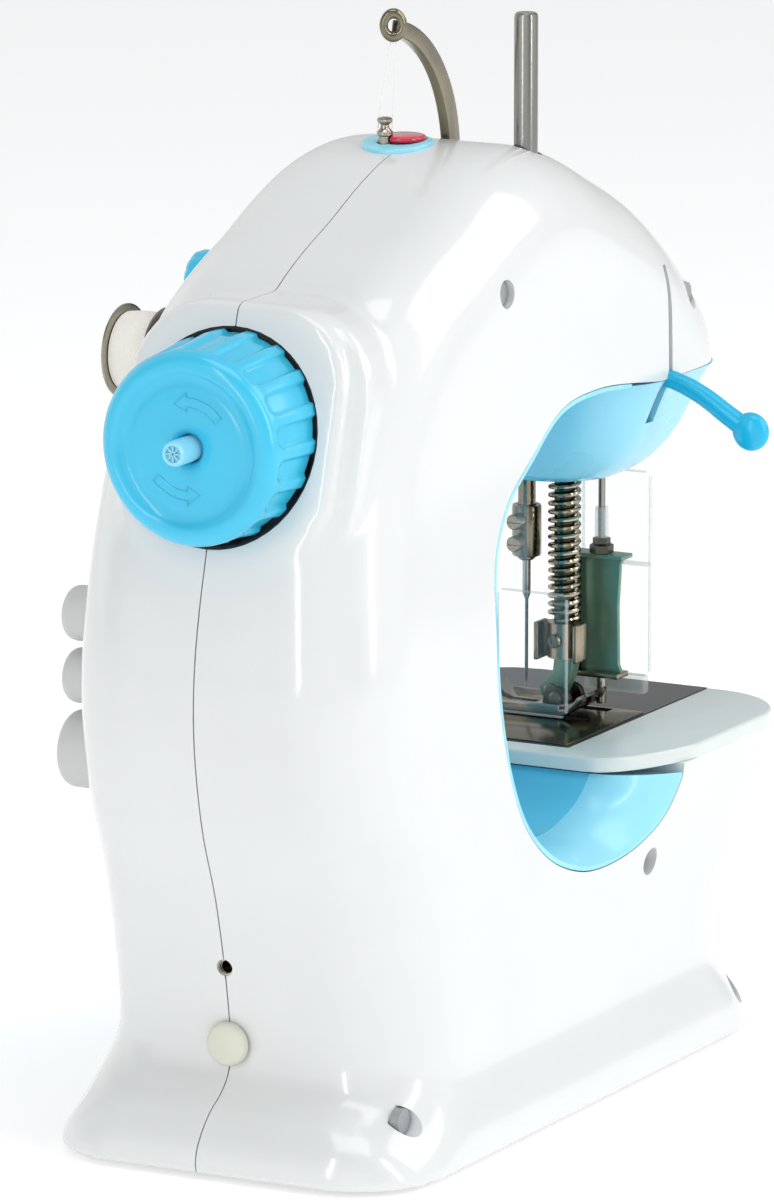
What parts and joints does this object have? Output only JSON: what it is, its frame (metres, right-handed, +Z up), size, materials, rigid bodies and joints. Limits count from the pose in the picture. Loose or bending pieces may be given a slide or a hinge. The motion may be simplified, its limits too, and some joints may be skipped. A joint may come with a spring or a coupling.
{
  "type": "mini sewing machine",
  "caption": "Small C-shaped electric sewing machine with a scalloped handwheel, presser foot, front bobbin and telescopic spool pin.",
  "frame": {"origin": "middle of the base's underside, on the table top", "axes": "+X towards the handwheel end, +Y towards the rear with the presser lifter, +Z up"},
  "size_m": [0.1993, 0.1087, 0.2355],
  "materials": {
    "white_plastic": "glossy",
    "bed_white": "satin",
    "blue_plastic": "satin",
    "grey_plastic": "matte",
    "ivory_rubber": "matte",
    "red_plastic": "glossy",
    "steel": "polished",
    "nickel": "polished",
    "bronze_steel": "satin",
    "dark_metal": "satin",
    "sage_metal": "satin",
    "clear_plastic": "glossy",
    "thread": "matte",
    "black_plastic": "matte",
    "nylon": "matte",
    "circuit_board": "satin"
  },
  "bodies": {
    "machine body": {"front_shell": "white_plastic", "rear_shell": "white_plastic", "throat_liner": "blue_plastic", "bed_cover": "bed_white", "bed_plate": "dark_metal", "chin_cover": "blue_plastic", "screw_1": "steel", "screw_2": "steel", "screw_3": "steel", "screw_4": "steel", "screw_5": "steel", "base_plate": "white_plastic", "foot_1": "ivory_rubber", "foot_2": "ivory_rubber", "foot_3": "ivory_rubber", "foot_4": "ivory_rubber", "top_plate": "blue_plastic", "top_insert": "red_plastic", "thread_post": "nickel", "spool_sleeve": "steel", "motor": "steel", "inner_frame": "steel", "bobbin_spindle": "steel", "tension_discs": "nickel", "switch_board": "circuit_board", "pedal_jack": "nickel", "dc_jack": "black_plastic", "guard_left": "clear_plastic", "guard_right": "clear_plastic", "edge_bracket": "sage_metal", "guide_rod": "ivory_rubber", "presser_spring": "steel"},
    "handwheel": {"handwheel": "blue_plastic", "wheel_spindle": "blue_plastic", "drive_gear": "nylon"},
    "arm shaft": {"arm_shaft": "steel"},
    "motor rotor": {"motor_pinion": "nylon"},
    "upright shaft": {"upright_shaft": "steel"},
    "lower shaft": {"lower_shaft": "steel"},
    "hook": {"rotary_hook": "steel"},
    "lower bobbin": {"lower_bobbin": "clear_plastic"},
    "feed dog": {"feed_dog": "steel"},
    "needle bar": {"needle_bar": "nickel", "needle_clamp": "bronze_steel", "needle": "steel"},
    "take-up lever": {"take_up_lever": "steel"},
    "presser lifter": {"presser_lifter": "blue_plastic"},
    "presser bar": {"presser_bar": "steel", "foot_holder": "bronze_steel"},
    "presser foot": {"presser_foot": "steel"},
    "bobbin": {"bobbin": "nickel", "bobbin_thread": "thread"},
    "tension dial": {"tension_dial": "blue_plastic"},
    "low speed button": {"button_low": "grey_plastic"},
    "high speed button": {"button_high": "grey_plastic"},
    "power button": {"button_power": "grey_plastic"},
    "spool pin": {"spool_pin": "steel"},
    "bobbin cover": {"bobbin_cover": "clear_plastic"},
    "battery door": {"battery_door": "white_plastic"},
    "socket cover": {"dc_cover": "ivory_rubber"}
  },
  "joints": [
    {"name": "handwheel_spin", "type": "hinge", "parent": "machine body", "child": "handwheel", "pos_m": [0.0875, -0.005, 0.1571], "axis": [1, 0, 0], "continuous": true},
    {"name": "arm_shaft_spin", "type": "hinge", "parent": "machine body", "child": "arm shaft", "pos_m": [-0.0025, -0.005, 0.178], "axis": [1, 0, 0], "continuous": true},
    {"name": "motor_spin", "type": "hinge", "parent": "machine body", "child": "motor rotor", "pos_m": [0.0425, -0.005, 0.118], "axis": [1, 0, 0], "continuous": true},
    {"name": "upright_shaft_spin", "type": "hinge", "parent": "machine body", "child": "upright shaft", "pos_m": [0.0575, 0.015, 0.09], "axis": [0, 0, 1], "continuous": true},
    {"name": "lower_shaft_spin", "type": "hinge", "parent": "machine body", "child": "lower shaft", "pos_m": [-0.0025, 0.004, 0.031], "axis": [1, 0, 0], "continuous": true},
    {"name": "hook_spin", "type": "hinge", "parent": "machine body", "child": "hook", "pos_m": [-0.0625, -0.02, 0.05], "axis": [0, 0, 1], "continuous": true},
    {"name": "lower_bobbin_spin", "type": "hinge", "parent": "hook", "child": "lower bobbin", "pos_m": [-0.0625, -0.02, 0.056], "axis": [0, 0, 1], "continuous": true},
    {"name": "feed_travel", "type": "slide", "parent": "machine body", "child": "feed dog", "axis": [0, 1, 0], "range_m": [-0.0012, 0.0012]},
    {"name": "needle_stroke", "type": "slide", "parent": "machine body", "child": "needle bar", "axis": [0, 0, -1], "range_m": [0, 0.02]},
    {"name": "take_up_swing", "type": "hinge", "parent": "machine body", "child": "take-up lever", "pos_m": [0.0025, -0.008, 0.2005], "axis": [0, -1, 0], "range_deg": [0, 30]},
    {"name": "lift_presser", "type": "hinge", "parent": "machine body", "child": "presser lifter", "pos_m": [-0.059, 0.02, 0.1522], "axis": [1, 0, 0], "range_deg": [0, 45]},
    {"name": "presser_stroke", "type": "slide", "parent": "machine body", "child": "presser bar", "axis": [0, 0, 1], "range_m": [0, 0.006], "deforming": ["presser_spring"]},
    {"name": "foot_tilt", "type": "hinge", "parent": "presser bar", "child": "presser foot", "pos_m": [-0.0609, 0.0044, 0.076], "axis": [1, 0, 0], "range_deg": [-2, 2]},
    {"name": "bobbin_spin", "type": "hinge", "parent": "machine body", "child": "bobbin", "pos_m": [0.0375, -0.046, 0.165], "axis": [0, 1, 0], "continuous": true},
    {"name": "tension_turn", "type": "hinge", "parent": "machine body", "child": "tension dial", "pos_m": [0.0075, -0.048, 0.176], "axis": [0, 1, 0], "range_deg": [-150, 150]},
    {"name": "low_button_press", "type": "slide", "parent": "machine body", "child": "low speed button", "axis": [0, 1, 0], "range_m": [0, 0.0025], "stiffness_N_per_m": 250, "springref_m": -0.0008},
    {"name": "high_button_press", "type": "slide", "parent": "machine body", "child": "high speed button", "axis": [0, 1, 0], "range_m": [0, 0.0025], "stiffness_N_per_m": 250, "springref_m": -0.0008},
    {"name": "power_button_press", "type": "slide", "parent": "machine body", "child": "power button", "axis": [0, 1, 0], "range_m": [0, 0.003], "stiffness_N_per_m": 250, "springref_m": -0.0008},
    {"name": "spool_pin_retract", "type": "slide", "parent": "machine body", "child": "spool pin", "axis": [0, 0, -1], "range_m": [0, 0.013]},
    {"name": "bobbin_cover_slide", "type": "slide", "parent": "machine body", "child": "bobbin cover", "axis": [0, -1, 0], "range_m": [0, 0.015]},
    {"name": "battery_door_slide", "type": "slide", "parent": "machine body", "child": "battery door", "axis": [1, 0, 0], "range_m": [0, 0.015]},
    {"name": "socket_cover_pull", "type": "slide", "parent": "machine body", "child": "socket cover", "axis": [1, 0, 0], "range_m": [0, 0.01]}
  ],
  "couplings": [
    {"joint": "arm_shaft_spin", "follows": "handwheel_spin", "ratio": -1},
    {"joint": "motor_spin", "follows": "handwheel_spin", "ratio": -3},
    {"joint": "upright_shaft_spin", "follows": "handwheel_spin", "ratio": 1},
    {"joint": "lower_shaft_spin", "follows": "handwheel_spin", "ratio": 1},
    {"joint": "hook_spin", "follows": "handwheel_spin", "ratio": 2},
    {"joint": "take_up_swing", "follows": "needle_stroke", "rad_per_m": 26.17},
    {"joint": "lift_presser", "follows": "presser_stroke", "rad_per_m": 130.89}
  ]
}
